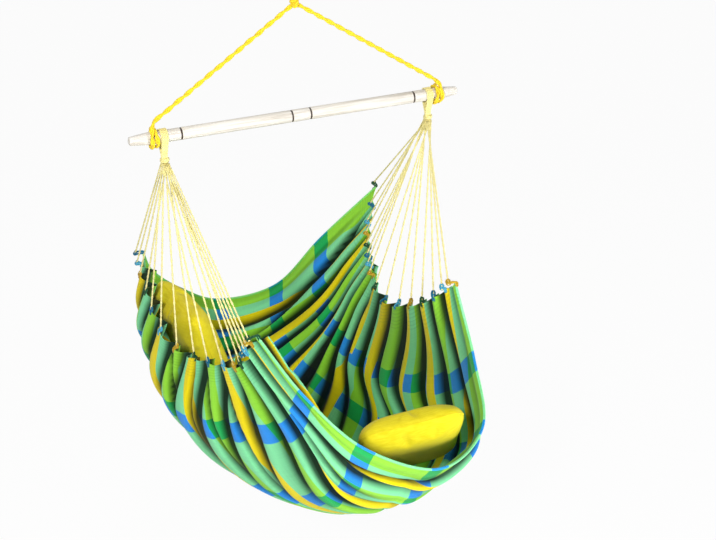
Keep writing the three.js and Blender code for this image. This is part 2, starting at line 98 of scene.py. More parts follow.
def add_camera():
    azimuth, pitch, roll = (math.radians(angle) for angle in CAMERA_TURNS)
    target = Vector(CAMERA_TARGET) + Vector((0, 0, BAR_Z))
    ahead = Vector((
        math.sin(azimuth) * math.cos(pitch),
        math.cos(azimuth) * math.cos(pitch),
        -math.sin(pitch),
    ))
    level = Vector((math.cos(azimuth), -math.sin(azimuth), 0))
    upright = level.cross(ahead)
    right = math.cos(roll) * level + math.sin(roll) * upright
    up = math.cos(roll) * upright - math.sin(roll) * level
    data = bpy.data.cameras.new("camera")
    data.sensor_width = SENSOR_WIDTH
    data.lens = LENS
    camera = add_object("camera", data)
    turn = Matrix((right, up, -ahead)).transposed().to_4x4()
    camera.matrix_world = Matrix.Translation(target - CAMERA_DISTANCE * ahead) @ turn
    bpy.context.scene.camera = camera


# Mesh building
WELD_DISTANCE = 1e-6
SLANT = (0.31, 0.87, 0.22)  # a direction that no line here starts along
FINE_STEPS = 40


class Shape:
    """Points, faces and the UV of each face corner, gathered into one mesh."""

    def __init__(self):
        self.points = []
        self.faces = []
        self.uvs = []
        self.count = 0

    def add(self, points, faces, uvs):
        self.points.append(points)
        self.faces.append(faces + self.count)
        self.uvs.append(uvs)
        self.count += len(points)

    def add_grid(self, grid, uv, closed=False):
        """A sheet of quads over a grid of points; closed joins its last column to its first."""
        rows, columns = grid.shape[:2]
        row, column = np.meshgrid(np.arange(rows - 1), np.arange(columns - (not closed)), indexing="ij")
        beside = (column + 1) % columns
        faces = np.stack([
            row * columns + column,
            row * columns + beside,
            (row + 1) * columns + beside,
            (row + 1) * columns + column,
        ], axis=-1).reshape(-1, 4)
        corners = np.stack([
            uv[row, column],
            uv[row, column + 1],
            uv[row + 1, column + 1],
            uv[row + 1, column],
        ], axis=-2).reshape(-1, 4, 2)
        self.add(grid.reshape(-1, 3), faces, corners)

    def add_tube(self, centres, radius, sides=8, uv_line=None):
        """A closed tube of rings round a line of centres.

        Its UV is (share round it, metres along it), or uv_line's place for each centre."""
        centres = np.asarray(centres, float)
        radii = np.broadcast_to(np.asarray(radius, float), len(centres))
        normals, binormals = carried_frame(centres)
        angles = 2 * np.pi * np.arange(sides) / sides
        ring = (
            np.cos(angles)[None, :, None] * normals[:, None, :]
            + np.sin(angles)[None, :, None] * binormals[:, None, :]
        )
        rings = centres[:, None, :] + radii[:, None, None] * ring
        tips = [centres[:1, None, :], centres[-1:, None, :]]
        rings = np.concatenate([np.repeat(tips[0], sides, 1), rings, np.repeat(tips[1], sides, 1)])
        along = run_length(centres)
        along = np.concatenate([along[:1], along, along[-1:]])
        uv = ring_uv(sides, along)
        if uv_line is not None:
            capped = np.concatenate([uv_line[:1], uv_line, uv_line[-1:]])
            uv = np.broadcast_to(capped[:, None, :], uv.shape)
        self.add_grid(rings, uv, closed=True)

    def add_twist(self, centres, offset, radius, pitch, sides=8, phase=0.0):
        """Two strands twisted together about a line of centres."""
        for strand in strands(centres, offset, pitch, phase):
            self.add_tube(strand, radius, sides)

    def make(self, name, material, body, slot, merge=True):
        mesh = bpy.data.meshes.new(name)
        faces = np.concatenate(self.faces)
        mesh.from_pydata(np.concatenate(self.points).tolist(), [], faces.tolist())
        layer = mesh.uv_layers.new(name="UVMap")
        layer.data.foreach_set("uv", np.concatenate(self.uvs).astype(np.float32).ravel())
        mesh.polygons.foreach_set("use_smooth", np.ones(len(faces), dtype=bool))
        mesh.materials.append(material)
        piece = add_object(name, mesh)
        if merge:
            weld(mesh)
        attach(piece, body)
        return piece


def ring_uv(sides, along):
    around = np.arange(sides + 1) / sides
    return np.stack(np.broadcast_arrays(around[None, :], along[:, None]), axis=-1)


def weld(mesh):
    work = bmesh.new()
    work.from_mesh(mesh)
    bmesh.ops.remove_doubles(work, verts=work.verts, dist=WELD_DISTANCE)
    bmesh.ops.recalc_face_normals(work, faces=work.faces)
    work.to_mesh(mesh)
    work.free()


def run_length(points):
    steps = np.linalg.norm(np.diff(points, axis=0), axis=1)
    return np.concatenate([[0], np.cumsum(steps)])


def carried_frame(points):
    """Two directions across a line, carried along it without twisting about it."""
    tangents = unit(np.gradient(points, axis=0))
    normal = np.cross(tangents[0], SLANT)
    normals = []
    for tangent in tangents:
        normal = normal - tangent * np.dot(normal, tangent)
        normal = normal / np.linalg.norm(normal)
        normals.append(normal)
    normals = np.array(normals)
    return normals, np.cross(tangents, normals)


def smooth_line(points, count):
    """Evenly spaced points on a smooth curve through the given ones."""
    fine = spline(np.asarray(points, float), np.linspace(0, 1, FINE_STEPS * len(points)))
    along = run_length(fine)
    places = np.linspace(0, along[-1], count)
    return np.stack([np.interp(places, along, fine[:, axis]) for axis in range(3)], axis=1)


def spline(points, shares):
    """A smooth curve through control points, on the first axis."""
    ends = [2 * points[0] - points[1]], [2 * points[-1] - points[-2]]
    held = np.concatenate([ends[0], points, ends[1]])
    place = np.asarray(shares) * (len(points) - 1)
    index = np.clip(np.floor(place).astype(int), 0, len(points) - 2)
    part = (place - index).reshape((-1,) + (1,) * (points.ndim - 1))
    before, start, end, after = (held[index + k] for k in range(4))
    leave = (end - before) / 2
    arrive = (after - start) / 2
    return (
        start + leave * part
        + (3 * (end - start) - 2 * leave - arrive) * part**2
        + (2 * (start - end) + leave + arrive) * part**3
    )


def strands(centres, offset, pitch, phase=0.0):
    """The lines of two strands twisted together about a line of centres."""
    normals, binormals = carried_frame(centres)
    along = run_length(centres)
    lines = []
    for start in (0, 0.5):
        angle = phase + 2 * np.pi * (start + along / pitch)
        outward = np.cos(angle)[:, None] * normals + np.sin(angle)[:, None] * binormals
        lines.append(centres + offset * outward)
    return lines


# Materials
def add_node(tree, kind, *inputs, out=0, **settings):
    """A node with its settings and its first inputs, each a value, an output or None to skip it."""
    made = tree.nodes.new(kind)
    for key, value in settings.items():
        setattr(made, key, value)
    for index, value in enumerate(inputs):
        if value is None:
            continue
        if hasattr(value, "is_output"):
            tree.links.new(value, made.inputs[index])
        else:
            made.inputs[index].default_value = value
    return made.outputs[out]


class Graph:
    """A material's node graph, written as short calls."""

    def __init__(self, name, roughness, specular, sheen=0.0, coat=0.0):
        self.material = bpy.data.materials.new(name)
        self.material.use_nodes = True
        self.tree = self.material.node_tree
        self.shader = self.tree.nodes["Principled BSDF"]
        surface = {
            "Roughness": roughness,
            "Specular IOR Level": specular,
            "Sheen Weight": sheen,
            "Coat Weight": coat,
        }
        for key, value in surface.items():
            self.shader.inputs[key].default_value = value

    def node(self, kind, *inputs, **settings):
        return add_node(self.tree, kind, *inputs, **settings)

    def math(self, operation, *inputs):
        return self.node("ShaderNodeMath", *inputs, operation=operation)

    def wave(self, place, pitch):
        return self.math("SINE", self.math("MULTIPLY", place, 2 * math.pi / pitch))

    def axis(self, vector, index):
        return self.node("ShaderNodeSeparateXYZ", vector, out=index)

    def uv(self):
        coordinates = self.node("ShaderNodeUVMap", uv_map="UVMap")
        return self.axis(coordinates, 0), self.axis(coordinates, 1)

    def place(self):
        return self.node("ShaderNodeTexCoord", out="Object")

    def ramp(self, share, stops):
        made = self.tree.nodes.new("ShaderNodeValToRGB")
        elements = made.color_ramp.elements
        while len(elements) < len(stops):
            elements.new(0.5)
        for element, (position, color) in zip(elements, stops):
            element.position = position
            element.color = (*color, 1)
        self.tree.links.new(share, made.inputs[0])
        return made.outputs[0]

    def noise(self, vector, scale, detail):
        return self.node("ShaderNodeTexNoise", vector, None, scale, detail)

    def stretched(self, vector, factors):
        return self.node("ShaderNodeMapping", vector, None, None, factors)

    def mix(self, share, first, second, blend="MIX"):
        made = self.tree.nodes.new("ShaderNodeMix")
        made.data_type = "RGBA"
        made.blend_type = blend
        for socket, value in ((0, share), (6, first), (7, second)):
            if hasattr(value, "is_output"):
                self.tree.links.new(value, made.inputs[socket])
            elif socket == 0:
                made.inputs[0].default_value = value
            else:
                made.inputs[socket].default_value = (*value, 1)
        return made.outputs[2]

    def finish(self, color, height, distance, strength):
        bump = self.node("ShaderNodeBump", strength, distance, None, height)
        self.tree.links.new(color, self.shader.inputs["Base Color"])
        self.tree.links.new(bump, self.shader.inputs["Normal"])
        return self.material


def linear(red, green, blue):
    """A colour as seen on screen, 0 to 255, as the linear values that shaders take."""
    shares = [value / 255 for value in (red, green, blue)]
    return tuple(s / 12.92 if s <= 0.04045 else ((s + 0.055) / 1.055) ** 2.4 for s in shares)


def cord_material(name, light, dark, plies, pitch):
    """Twisted yarn: plies that wind round the cord, with painted shade in the grooves between them."""
    patches_per_metre = 60.0
    painted_groove_shade = 0.6
    light, dark = linear(*light), linear(*dark)
    graph = Graph(name, roughness=0.85, specular=0.2, sheen=0.15)
    around, along = graph.uv()
    plies_passed = graph.math("MULTIPLY", around, float(plies))
    turns = graph.math("ADD", plies_passed, graph.math("DIVIDE", along, pitch))
    wave = graph.math("ABSOLUTE", graph.math("SINE", graph.math("MULTIPLY", turns, math.pi)))
    spot = graph.node("ShaderNodeCombineXYZ", around, graph.math("MULTIPLY", along, patches_per_metre), 0.0)
    patch = graph.noise(spot, scale=2.0, detail=3.0)
    tint = graph.mix(patch, dark, light)
    # Painted shade: the grooves between the plies take a darkened copy of the yarn's dark tone
    groove = tuple(part * painted_groove_shade for part in dark)
    color = graph.mix(graph.math("POWER", wave, 0.5), groove, tint)
    return graph.finish(color, wave, distance=0.0008, strength=0.6)


# The photographed colours, and the cloth's pattern
LIME = linear(160, 238, 64)
MINT = linear(142, 242, 176)
YELLOW = linear(255, 232, 14)
BAND_GREEN = linear(30, 190, 96)
BAND_BLUE = linear(44, 156, 252)
STRIPE_REPEAT = 0.217
STRIPE_START = 0.118
BAND_SPACING = 0.25
BAND_HALF_WIDTH = 0.034
HEADER_ROW_PITCH = 0.011  # the header's thicker wefts
HEADER_ROWS_LENGTH = 0.07
HEADER_ROW_START = 0.55  # the part of a sine above which a row is dark
HEADER_ROW_SHADE = 0.14
# Painted shade: the near-black colour that the cloth is mixed toward deep in its folds, how strongly, and
# how it grows with depth
PAINTED_FOLD_SHADE_COLOR = linear(0, 26, 4)
FOLD_SHADE = 0.97
FOLD_SHADE_POWER = 1.1
STRIPE_STARTS = (0.0, 0.203, 0.456, 0.747)
STRIPE_EDGE = 0.004
THREAD_NOISE = (6.0, 700.0)  # how fine the threads' noise is along and across the warp
SLUB_NOISE = (600.0, 8.0)
RIB_PITCH = 0.0016
PICK_PITCH = 0.0013


def cloth_material(name, shade_name):
    """The plaid cloth, with painted shade mixed in toward near black where the face's own attribute says it
    lies deep in a fold.
    """
    graph = Graph(name, roughness=0.85, specular=0.15, sheen=0.1)
    along_warp, along_weft = graph.uv()
    shifted = graph.math("ADD", graph.math("SUBTRACT", along_weft, STRIPE_START), 3 * STRIPE_REPEAT)
    repeat = graph.math("FRACT", graph.math("DIVIDE", shifted, STRIPE_REPEAT))
    plain_colors = (YELLOW, MINT, LIME, MINT)
    band_colors = (YELLOW, BAND_BLUE, BAND_GREEN, BAND_BLUE)

    def striped(colors):
        stops = [(0.0, colors[0])]
        for place, before, after in zip(STRIPE_STARTS[1:], colors, colors[1:]):
            stops += [(place - STRIPE_EDGE, before), (place + STRIPE_EDGE, after)]
        return graph.ramp(repeat, stops + [(1.0, colors[-1])])

    to_band = graph.math("DIVIDE", along_warp, BAND_SPACING)
    off_band = graph.math("ABSOLUTE", graph.math("SUBTRACT", to_band, graph.math("ROUND", to_band)))
    near_band = graph.math("LESS_THAN", off_band, BAND_HALF_WIDTH / BAND_SPACING)
    from_header = graph.math("MINIMUM", along_warp, graph.math("SUBTRACT", CLOTH_WARP, along_warp))
    in_band = graph.math("MULTIPLY", near_band, graph.math("GREATER_THAN", from_header, BAND_SPACING / 2))
    color = graph.mix(in_band, striped(plain_colors), striped(band_colors))

    def yarn_noise(fineness):
        warp_place = graph.math("MULTIPLY", along_warp, fineness[0])
        weft_place = graph.math("MULTIPLY", along_weft, fineness[1])
        space = graph.node("ShaderNodeCombineXYZ", warp_place, weft_place, 0.0)
        return graph.noise(space, scale=1.0, detail=1.0)

    threads = yarn_noise(THREAD_NOISE)
    slubs = yarn_noise(SLUB_NOISE)
    mottle = graph.math("ADD", graph.math("MULTIPLY", threads, 0.5), graph.math("MULTIPLY", slubs, 0.5))
    shade = graph.ramp(mottle, [(0.3, (0.84, 0.84, 0.84)), (0.7, (1.0, 1.0, 1.0))])
    color = graph.mix(1.0, color, shade, "MULTIPLY")
    dark_row = graph.math("GREATER_THAN", graph.wave(along_warp, HEADER_ROW_PITCH), HEADER_ROW_START)
    row = graph.math("MULTIPLY", dark_row, graph.math("LESS_THAN", from_header, HEADER_ROWS_LENGTH))
    row_color = tuple(part * 0.35 for part in BAND_GREEN)
    color = graph.mix(graph.math("MULTIPLY", row, HEADER_ROW_SHADE), color, row_color)
    # Painted shade in the folds, read from the face's own attribute
    depth = graph.node("ShaderNodeAttribute", out=2, attribute_name=shade_name)
    painted_fold_shade = graph.math("MULTIPLY", graph.math("POWER", depth, FOLD_SHADE_POWER), FOLD_SHADE)
    color = graph.mix(painted_fold_shade, color, PAINTED_FOLD_SHADE_COLOR)

    weave = graph.math("ADD", graph.wave(along_weft, RIB_PITCH), graph.wave(along_warp, PICK_PITCH))
    height = graph.math("ADD", weave, graph.math("MULTIPLY", mottle, 2.0))
    return graph.finish(color, height, distance=0.0004, strength=0.35)


# Rope, strings and loops
rope_material = cord_material("rope_cotton", (255, 232, 60), (252, 212, 30), plies=3, pitch=0.012)
string_material = cord_material("string_cotton", (255, 250, 192), (250, 232, 140), plies=2, pitch=0.009)
twine_material = cord_material("twine_cotton", (255, 238, 110), (240, 200, 50), plies=2, pitch=0.006)


# The rope from the knot to its turns round the bar, in places from the bar's middle
LEG_LANDING = (0.462, -0.003, 0.053)
LEG_BEND = ((0.474, -0.010, 0.043), (0.482, -0.020, 0.028))
LEG_END_HEIGHT = 0.045
LEG_KNOT_SHARE = 0.9  # how far out in the knot a leg starts
LEG_STEPS = 260
HITCH_TURNS = 1.25
HITCH_FIRST_TURN = 0.03
HITCH_START = 0.4855
HITCH_RUN = 0.0198
ROPE_PITCH = 0.08
ROPE_WANDER = 0.0012
ROPE_WANDER_RATE = 90


def leg_line(side):
    """The sling's run from the knot to the bar and round it, and where on it the turns start."""
    def bar_point(x, y, z):
        return side * x, y, BAR_Z + z

    turn_radius = BAR_RADIUS + GAP + ROPE_RADIUS
    landing = np.array(bar_point(*LEG_LANDING))
    toward = np.array([landing[0], landing[1], landing[2] - KNOT[2]])
    start = KNOT + KNOT_RADIUS * LEG_KNOT_SHARE * unit(toward)
    straight = [start + (landing - start) * share for share in np.linspace(0, 1, 9)]
    bend = [bar_point(*place) for place in LEG_BEND]
    turns = []
    for turned in np.linspace(HITCH_FIRST_TURN, HITCH_TURNS, 30):
        angle = math.pi + 2 * math.pi * turned
        x = HITCH_START - HITCH_RUN * turned / HITCH_TURNS
        turns.append(bar_point(x, turn_radius * math.cos(angle), turn_radius * math.sin(angle)))
    line = smooth_line(straight + bend + turns, LEG_STEPS)
    cut = int(np.argmax(line[:, 2] < BAR_Z + LEG_END_HEIGHT))
    return line, cut


def add_sling():
    for side, side_name in SIDES:
        line, cut = leg_line(side)
        wander = ROPE_WANDER * np.sin(run_length(line) * ROPE_WANDER_RATE + side)
        line = line + wander[:, None] * np.array([0, 1, 0])
        parts = {
            "leg": (slice(0, cut + 1), f"leg_rope_{side_name}", f"rope_leg_{side_name}"),
            "turns": (slice(cut, None), f"bar_hitch_{side_name}", f"rope_turns_{side_name}"),
        }
        pair = strands(line, STRAND_OFFSET, ROPE_PITCH)
        for kind, (piece_range, node, name) in parts.items():
            shape = Shape()
            for strand in pair:
                shape.add_tube(strand[piece_range], STRAND_RADIUS)
            piece = shape.make(name, rope_material, "sling", "rope")
            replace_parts(piece, node)


def string_ends(node):
    """The upper and lower end of a straight string, from the middles of its two end rings."""
    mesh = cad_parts[node].data
    points = np.array([vertex.co[:] for vertex in mesh.vertices])
    middle = points.mean(axis=0)
    upper = points[points[:, 2] > middle[2]].mean(axis=0)
    lower = points[points[:, 2] <= middle[2]].mean(axis=0)
    return upper, lower


GATHERED_PLY_SHARE = 0.46  # a ply's radius in the gather, as a share of the string's
OPEN_PLY_SHARE = 0.16  # and what is added to it below the gather
PLY_OFFSET_SHARE = 0.65
GATHERED_LENGTHS = 4  # how many times the gathered end goes into the string


def add_strings():
    """Each string is two plies, thinner where the strings crowd into the gather."""
    shares = np.linspace(0, 1, 40)
    opened = np.minimum(1, shares * GATHERED_LENGTHS)
    ply_radius = STRING_RADIUS * (GATHERED_PLY_SHARE + OPEN_PLY_SHARE * opened)
    for _, side_name in SIDES:
        for i in range(LOOPS):
            node = f"string_{side_name}_{i + 1:02d}"
            upper, lower = string_ends(node)
            line = upper + (lower - upper) * shares[:, None]
            line[:, 2] -= STRING_SAG * np.sin(np.pi * shares)
            shape = Shape()
            offset = ply_radius[:, None] * PLY_OFFSET_SHARE
            shape.add_twist(line, offset, ply_radius, STRING_PITCH, sides=6, phase=i)
            piece = shape.make(f"cord_{side_name}_{i + 1:02d}", string_material, "seat", "string")
            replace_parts(piece, node)


# The cloth hangs on a net of control points, five from the back hem to the front hem and seven from
# the left header to the right header, as shares of the harness's offset, the weft and the seat's drop
NET_SHARE = np.array([
    [[-0.882, 0.259, -0.397], [-0.723, 0.337, -0.492], [-0.439, 0.393, -0.584], [-0.064, 0.426, -0.657],
     [0.424, 0.404, -0.635], [0.764, 0.348, -0.495], [1.191, 0.295, -0.353]],
    [[-0.916, 0.208, -0.451], [-0.984, 0.219, -0.591], [-0.666, 0.247, -0.746], [-0.189, 0.258, -0.820],
     [0.265, 0.247, -0.761], [0.571, 0.224, -0.657], [0.946, 0.202, -0.451]],
    [[-0.984, 0.041, -0.525], [-1.018, 0, -0.691], [-0.598, -0.006, -0.886], [0.083, -0.006, -1.000],
     [0.742, 0.011, -0.901], [0.719, 0.062, -0.746], [0.669, 0.013, -0.507]],
    [[-0.847, -0.202, -0.458], [-0.620, -0.253, -0.606], [-0.314, -0.264, -0.801], [0.220, -0.247, -0.879],
     [0.855, -0.202, -0.820], [0.878, -0.152, -0.665], [0.583, -0.174, -0.425]],
    [[-0.841, -0.298, -0.343], [-0.643, -0.365, -0.462], [-0.246, -0.370, -0.610], [0.279, -0.382, -0.694],
     [0.730, -0.328, -0.665], [0.719, -0.309, -0.510], [0.621, -0.288, -0.326]],
])
LEFT_LOOP_SHARE = [
    0, 0.105, 0.205, 0.297, 0.368, 0.442, 0.532, 0.604, 0.654, 0.71, 0.77, 0.828, 0.882, 0.925, 0.963, 1,
]
RIGHT_LOOP_SHARE = [
    0, 0.1, 0.187, 0.24, 0.29, 0.33, 0.362, 0.395, 0.445, 0.53, 0.625, 0.708, 0.793, 0.88, 0.95, 1,
]
# Where the cloth's own weft runs ahead of its loops, since a header isn't gathered evenly
LEFT_AHEAD = ((0, 0), (0.29, 0.12), (0.467, 0.093), (0.588, 0.093), (0.768, 0.036), (0.93, 0), (1, 0))
RIGHT_AHEAD = (
    (0, 0), (0.12, -0.04), (0.2, 0), (0.345, 0), (0.53, -0.095), (0.6, -0.05), (0.72, -0.045), (0.8, 0.01),
    (0.94, -0.02), (1, 0),
)
LEFT_AHEAD_REACH = 0.5
RIGHT_AHEAD_START = 0.5
RIGHT_AHEAD_REACH = 0.45
LIP_AHEAD = ((0.82, 0), (0.89, 1), (0.95, 1), (1, 0))
LIP_ALONG = ((0.12, 0), (0.22, 0.014), (0.42, 0.015), (0.56, 0.034), (0.78, 0.034), (1, 0))
RIGHT_LEAN = 0.155  # how far the right panel's warp leans back below its header
RIGHT_LEAN_POWER = 2
RIGHT_LEAN_REACH = 0.55
RIGHT_BACK_SHARE = 8 / 15  # the right header's loops that hang one above another
RIGHT_EDGE_SHARE = 0.25
RIGHT_EDGE_REACH = 0.09
BUNCHED_SHARE = 0.45
LEFT_FLUTED_SHARE = 0.3
RIGHT_FLUTED_SHARE = 0.42
LEAST_FLUTE_DEPTH = 0.016
SCALLOP_DEPTH = 0.01
GROOVE_CENTRE = (0.43, 0.57)  # of a groove between two ridges, as a share of the way
GROOVE_WIDTH = (0.13, 0.2)
GROOVE_DEPTH = (1.1, 1.8)  # as a share of a flute's depth
RIDGE_DIP = 0.2
FADE_POWER = 1.5
ROW_CROWDING = 0.55  # how much closer rows lie toward the ridges
# Painted shade: how deep below the crests the cloth is fully darkened, and how many rows to each side are
# searched for a crest
SHADE_DEPTH = 0.018  # how deep in a fold the cloth is all in shade
SHADE_ROWS = 10
ROWS_PER_FLUTE = 24
ROWS = ROWS_PER_FLUTE * (LOOPS - 1) + 1
COLUMNS = 201
CLOTH_THICKNESS = 0.0014
HEM_RADIUS = 0.0042
HEM_ROWS = 4
HEM_INSET = 0.2  # how far in toward that row the hem's middle lies

# Folds that the photograph shows: where each starts and ends as (warp share, weft share), how far it
# moves along the outward normal and its half width in metres, and where it is deepest
FOLDS = (
    ((0.00, 0.796), (0.42, 0.770), -0.058, 0.026, "start"),
    ((0.00, 0.515), (0.42, 0.585), -0.026, 0.010, "start"),
    ((0.00, 0.385), (0.34, 0.480), -0.034, 0.013, "start"),
    ((0.00, 0.470), (0.30, 0.500), -0.022, 0.008, "start"),
    ((0.00, 0.575), (0.46, 0.650), -0.028, 0.010, "start"),
    ((0.00, 0.690), (0.36, 0.710), -0.020, 0.008, "start"),
    ((0.08, 0.900), (0.66, 0.936), -0.036, 0.012, "middle"),
    ((0.20, 0.800), (0.85, 0.835), -0.014, 0.012, "middle"),
    ((1.00, 0.060), (0.45, 0.170), 0.046, 0.018, "start"),
    ((1.00, 0.366), (0.35, 0.375), 0.060, 0.022, "start"),
)
MIDDLE_FOLD_POWER = 0.7
START_FOLD_POWER = 1.2


def along_header(weft, loop_share):
    """How far along a header's line shares of the weft sit."""
    return np.interp(weft, np.linspace(0, 1, LOOPS), loop_share)


def cloth_base(warp_shares, weft_shares):
    """The unfluted cloth, with the headers' loops where the strings hold them."""
    net = NET_SHARE * [HARNESS_X, CLOTH_WEFT, SEAT_DROP] + [0, SEAT_SETBACK, BAR_Z]
    rows = spline(np.swapaxes(net, 0, 1), warp_shares)
    left = along_header(weft_shares, LEFT_LOOP_SHARE) - weft_shares
    right = along_header(weft_shares, RIGHT_LOOP_SHARE) - weft_shares
    lean = RIGHT_LEAN * np.sin(np.pi * weft_shares**RIGHT_LEAN_POWER)
    columns = []
    for share, row in zip(warp_shares, rows):
        left_pull = max(0, 1 - share / BUNCHED_SHARE) ** 2
        right_pull = max(0, 1 - (1 - share) / BUNCHED_SHARE) ** 2
        leaning = math.sin(math.pi * min(1, (1 - share) / RIGHT_LEAN_REACH))
        columns.append(spline(row, weft_shares + left_pull * left + right_pull * right - leaning * lean))
    return np.stack(columns, axis=1)


def grid_normals(grid):
    """Unit normals of a grid of points, which point out of the seat."""
    return unit(np.cross(np.gradient(grid, axis=1), np.gradient(grid, axis=0)))


def flute_waves(header, phase, flute):
    """Each flute's height over the cloth's middle: broad ridges at the loops, a narrow valley between."""
    loops = header[::ROWS_PER_FLUTE]
    cut_width = CLOTH_WEFT / (LOOPS - 1)
    spare = np.sqrt(np.maximum(0, cut_width**2 - np.sum(np.diff(loops, axis=0) ** 2, axis=1)))
    depth = np.maximum(LEAST_FLUTE_DEPTH, spare / 4)
    depth[[0, -1]] = 0
    ridge = (np.append(depth, depth[-1]) + np.append(depth[0], depth)) / 2
    centre = rng.uniform(*GROOVE_CENTRE, LOOPS - 1)
    width = rng.uniform(*GROOVE_WIDTH, LOOPS - 1)
    last = flute + 1
    ridge_height = ridge[flute] * (1 - phase) + ridge[last] * phase
    valley_depth = depth[flute] * rng.uniform(*GROOVE_DEPTH, LOOPS - 1)[flute]
    dip = RIDGE_DIP * np.sin(np.pi * phase) ** 2
    groove = np.exp(-(((phase - centre[flute]) / width[flute]) ** 2))
    return ridge_height * (1 - dip) - (ridge_height + valley_depth) * groove


def shade_in_folds(offset):
    """How much painted shade each point gets on a face whose folds go down where the offset is low, from
    how far it lies below the crests beside it.
    """
    count = len(offset)
    crest = offset.copy()
    for step in range(1, SHADE_ROWS + 1):
        crest[step:] = np.maximum(crest[step:], offset[:count - step])
        crest[:-step] = np.maximum(crest[:-step], offset[step:])
    return np.clip((crest - offset) / SHADE_DEPTH, 0, 1)


def fold_offsets(warp, weft):
    """How far each point moves along the outward normal for the folds above."""
    moved = np.zeros_like(warp)
    for start, end, depth, half_width, deepest in FOLDS:
        share = np.clip((warp - start[0]) / (end[0] - start[0]), 0, 1)
        line = start[1] + (end[1] - start[1]) * share
        off = (weft - line) * CLOTH_WEFT / half_width
        if deepest == "middle":
            reach = np.sin(np.pi * share) ** MIDDLE_FOLD_POWER
        else:
            reach = np.cos(np.pi * share / 2) ** START_FOLD_POWER
        moved += depth * reach * np.exp(-off * off)
    return moved


SLACK_WAVES = 36
SLACK_COUNT = (6, 34)  # how often a slack wave repeats across the weft
SLACK_LEAN = 1.5
SLACK_SHARE = (0.5, 1.5)
SLACK_HEIGHT = 0.0016


def waver(warp, weft):
    """Small slack folds that run along the warp."""
    height = np.zeros_like(warp)
    for _ in range(SLACK_WAVES):
        count = rng.uniform(*SLACK_COUNT)
        lean = rng.uniform(-SLACK_LEAN, SLACK_LEAN)
        phase = rng.uniform(0, 2 * np.pi)
        share = rng.uniform(*SLACK_SHARE) / math.sqrt(count)
        height += share * np.sin(2 * np.pi * (count * weft + lean * warp) + phase)
    return height * SLACK_HEIGHT


def run_shares(grid):
    """Each point's weft share, from the length of cloth between the two ridges beside it."""
    steps = np.linalg.norm(np.diff(grid, axis=0), axis=-1)
    steps = steps.reshape(LOOPS - 1, ROWS_PER_FLUTE, -1)
    done = np.cumsum(steps, axis=1)
    share = np.concatenate([np.zeros_like(done[:, :1]), done[:, :-1]], axis=1) / done[:, -1:]
    flutes = np.arange(LOOPS - 1)[:, None, None]
    shares = ((flutes + share) / (LOOPS - 1)).reshape(ROWS - 1, -1)
    return np.concatenate([shares, np.ones((1, shares.shape[1]))])


def cloth_grid():
    even = np.linspace(0, 1, COLUMNS)
    warp_shares = 0.5 * (1 - np.cos(np.pi * even)) / 2 + 0.5 * even
    step = np.arange(ROWS) / ROWS_PER_FLUTE
    flute = np.minimum(step.astype(int), LOOPS - 2)
    phase = step - flute
    phase = phase + ROW_CROWDING / (2 * np.pi) * np.sin(2 * np.pi * phase)
    weft_shares = (flute + phase) / (LOOPS - 1)
    base = cloth_base(warp_shares, weft_shares)
    warp, weft = np.meshgrid(warp_shares, weft_shares)
    inset = np.sin(np.pi * phase)[:, None] ** 2 * SCALLOP_DEPTH / CLOTH_WARP
    inset_warp = inset + warp * (1 - 2 * inset)
    along = unit(np.gradient(base, axis=1))
    base = base + along * ((inset_warp - warp) * CLOTH_WARP)[..., None]
    left_fade = np.exp(-((warp / LEFT_FLUTED_SHARE) ** FADE_POWER))
    right_fade = np.exp(-(((1 - warp) / RIGHT_FLUTED_SHARE) ** FADE_POWER))
    left = flute_waves(base[:, 0], phase, flute)[:, None]
    right = flute_waves(base[:, -1], phase, flute)[:, None]
    rise = RIGHT_EDGE_SHARE + (1 - RIGHT_EDGE_SHARE) * eased((1 - warp) / RIGHT_EDGE_REACH)
    rise = np.where(weft < RIGHT_BACK_SHARE, rise, 1)
    offset = left * left_fade - right * right_fade * rise
    off_header = 1 - np.maximum(left_fade, right_fade) ** 2
    offset = offset + off_header * waver(warp, weft) + fold_offsets(warp, weft) * rise
    grid = base + grid_normals(base) * offset[..., None]
    ahead = (
        np.interp(weft, *zip(*LEFT_AHEAD)) * eased(1 - warp / LEFT_AHEAD_REACH)
        + np.interp(weft, *zip(*RIGHT_AHEAD)) * eased((warp - RIGHT_AHEAD_START) / RIGHT_AHEAD_REACH)
        + np.interp(weft, *zip(*LIP_AHEAD)) * np.interp(warp, *zip(*LIP_ALONG))
    )
    cloth_weft = run_shares(grid) + ahead
    flat = np.stack([inset_warp * CLOTH_WARP, cloth_weft * CLOTH_WEFT], axis=-1)
    # The painted fold shade of each face, from how deep each point lies below the crests beside it
    shades = {"outside_shade": shade_in_folds(offset), "inside_shade": shade_in_folds(-offset)}
    return grid, flat, shades


def eased(share):
    """A smooth rise from 0 to 1."""
    share = np.clip(share, 0, 1)
    return share * share * (3 - 2 * share)


def add_cloth():
    grid, flat, shades = cloth_grid()
    shape = Shape()
    shape.add_grid(grid, flat)
    material = cloth_material("seat_cloth_outside", "outside_shade")
    piece = shape.make("seat_cloth_woven", material, "seat", "seat_fabric", merge=False)
    piece.data.materials.append(cloth_material("seat_cloth_inside", "inside_shade"))
    # Each face's painted fold shade is kept as its own attribute and read by that face's material
    for name, shade in shades.items():
        layer = piece.data.attributes.new(name, "FLOAT", "POINT")
        layer.data.foreach_set("value", shade.astype(np.float32).ravel())
    thick = piece.modifiers.new("thickness", "SOLIDIFY")
    thick.thickness = CLOTH_THICKNESS
    thick.offset = 0
    thick.material_offset = 1
    for row, inward, name in ((0, HEM_ROWS, "back"), (ROWS - 1, ROWS - 1 - HEM_ROWS, "front")):
        hem = Shape()
        line = grid[row] * (1 - HEM_INSET) + grid[inward] * HEM_INSET
        hem.add_tube(line, HEM_RADIUS, sides=10, uv_line=flat[row])
        hem.make(f"hem_{name}", material, "seat", "seat_fabric")
    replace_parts(piece, "seat_cloth")
    return grid


